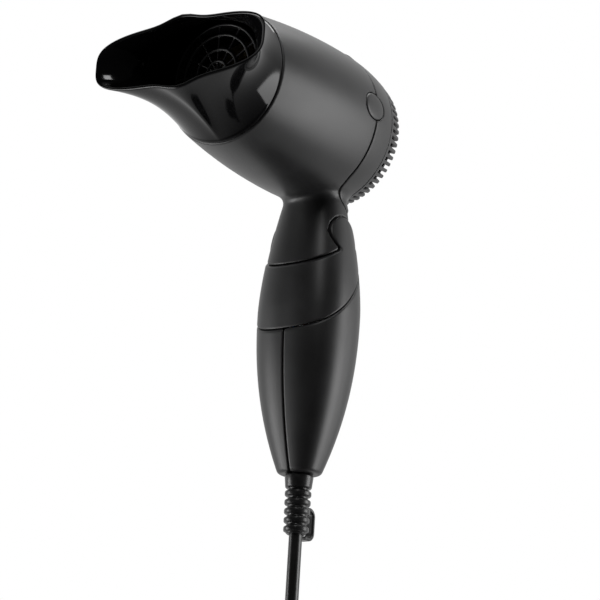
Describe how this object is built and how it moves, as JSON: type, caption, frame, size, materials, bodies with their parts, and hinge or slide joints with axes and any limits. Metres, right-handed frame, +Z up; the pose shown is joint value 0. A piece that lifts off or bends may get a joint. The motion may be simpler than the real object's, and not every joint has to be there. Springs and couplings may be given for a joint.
{
  "type": "travel hair dryer",
  "caption": "Folding travel hair dryer: round matte barrel with ribbed rear inlet and wide pull-off air concentrator on a hinged grip with slide switch, mains lead and plug.",
  "frame": {"origin": "middle of the hand grip, on the grip's axis", "axes": "+Z up along the grip to the barrel, -Y along the barrel towards the nozzle, +X to the dryer's left side"},
  "size_m": [0.0928, 0.129, 0.4717],
  "materials": {
    "soft_black": "soft-touch matte black",
    "collar_black": "soft-touch matte black",
    "gloss_black": "high gloss black",
    "trim_black": "satin black",
    "grille_black": "satin black",
    "cord_black": "satin black PVC",
    "relief_black": "matte black PVC",
    "steel": "plain",
    "plated": "nickel plated",
    "brass": "plain",
    "mica": "mica",
    "heater_wire": "resistance wire",
    "white_ceramic": "ceramic",
    "grey_plastic": "moulded",
    "fan_plastic": "moulded",
    "board_green": "circuit board",
    "filter_mesh": "woven mesh",
    "wire_brown": "PVC",
    "wire_blue": "PVC"
  },
  "bodies": {
    "handle": {"handle_collar": "collar_black", "handle_left_shell": "soft_black", "handle_right_shell": "soft_black", "hinge_pins": "steel", "switch_body": "trim_black", "switch_contacts": "brass", "cord_clamp": "grey_plastic", "handle_screws": "steel", "handle_wire_live": "wire_brown", "handle_wire_neutral": "wire_blue", "strain_relief": "relief_black", "hang_loop": "relief_black", "cord_lead": "cord_black", "cord_hank": "cord_black", "cord_tail": "cord_black", "cord_tie": "trim_black", "plug_body": "relief_black", "plug_pins": "plated"},
    "switch_slider": {"switch_knob": "trim_black"},
    "head": {"front_housing": "soft_black", "rear_housing": "soft_black", "rear_grille": "grille_black", "inlet_filter": "filter_mesh", "side_cap_left": "trim_black", "side_cap_right": "trim_black", "top_pad": "trim_black", "outlet_grille": "grille_black", "heater_sleeve": "mica", "heater_board_upright": "mica", "heater_board_flat": "mica", "heater_coil": "heater_wire", "thermostat": "steel", "thermal_fuse": "white_ceramic", "motor_mount": "grey_plastic", "motor": "steel", "motor_board": "board_green", "hinge_drum": "trim_black", "detent_spring": "steel", "housing_screws": "steel", "head_wire_live": "wire_brown", "head_wire_neutral": "wire_blue"},
    "rotor": {"motor_shaft": "steel", "fan": "fan_plastic"},
    "snap_ring": {"nozzle_snap_ring": "steel"},
    "nozzle": {"concentrator": "gloss_black"}
  },
  "joints": [
    {"name": "head_fold", "type": "hinge", "parent": "handle", "child": "head", "pos_m": [0, -0.0005, 0.0513], "axis": [-1, 0, 0], "range_deg": [0, 80]},
    {"name": "fan_spin", "type": "hinge", "parent": "head", "child": "rotor", "pos_m": [0, 0, 0.105], "axis": [0, 1, 0], "continuous": true},
    {"name": "nozzle_pull", "type": "slide", "parent": "head", "child": "snap_ring", "axis": [0, -1, 0], "range_m": [0, 0.012]},
    {"name": "nozzle_turn", "type": "hinge", "parent": "snap_ring", "child": "nozzle", "pos_m": [0, -0.07, 0.105], "axis": [0, -1, 0], "continuous": true},
    {"name": "switch_slide", "type": "slide", "parent": "handle", "child": "switch_slider", "axis": [0, 0, 1], "range_m": [0, 0.01]}
  ]
}
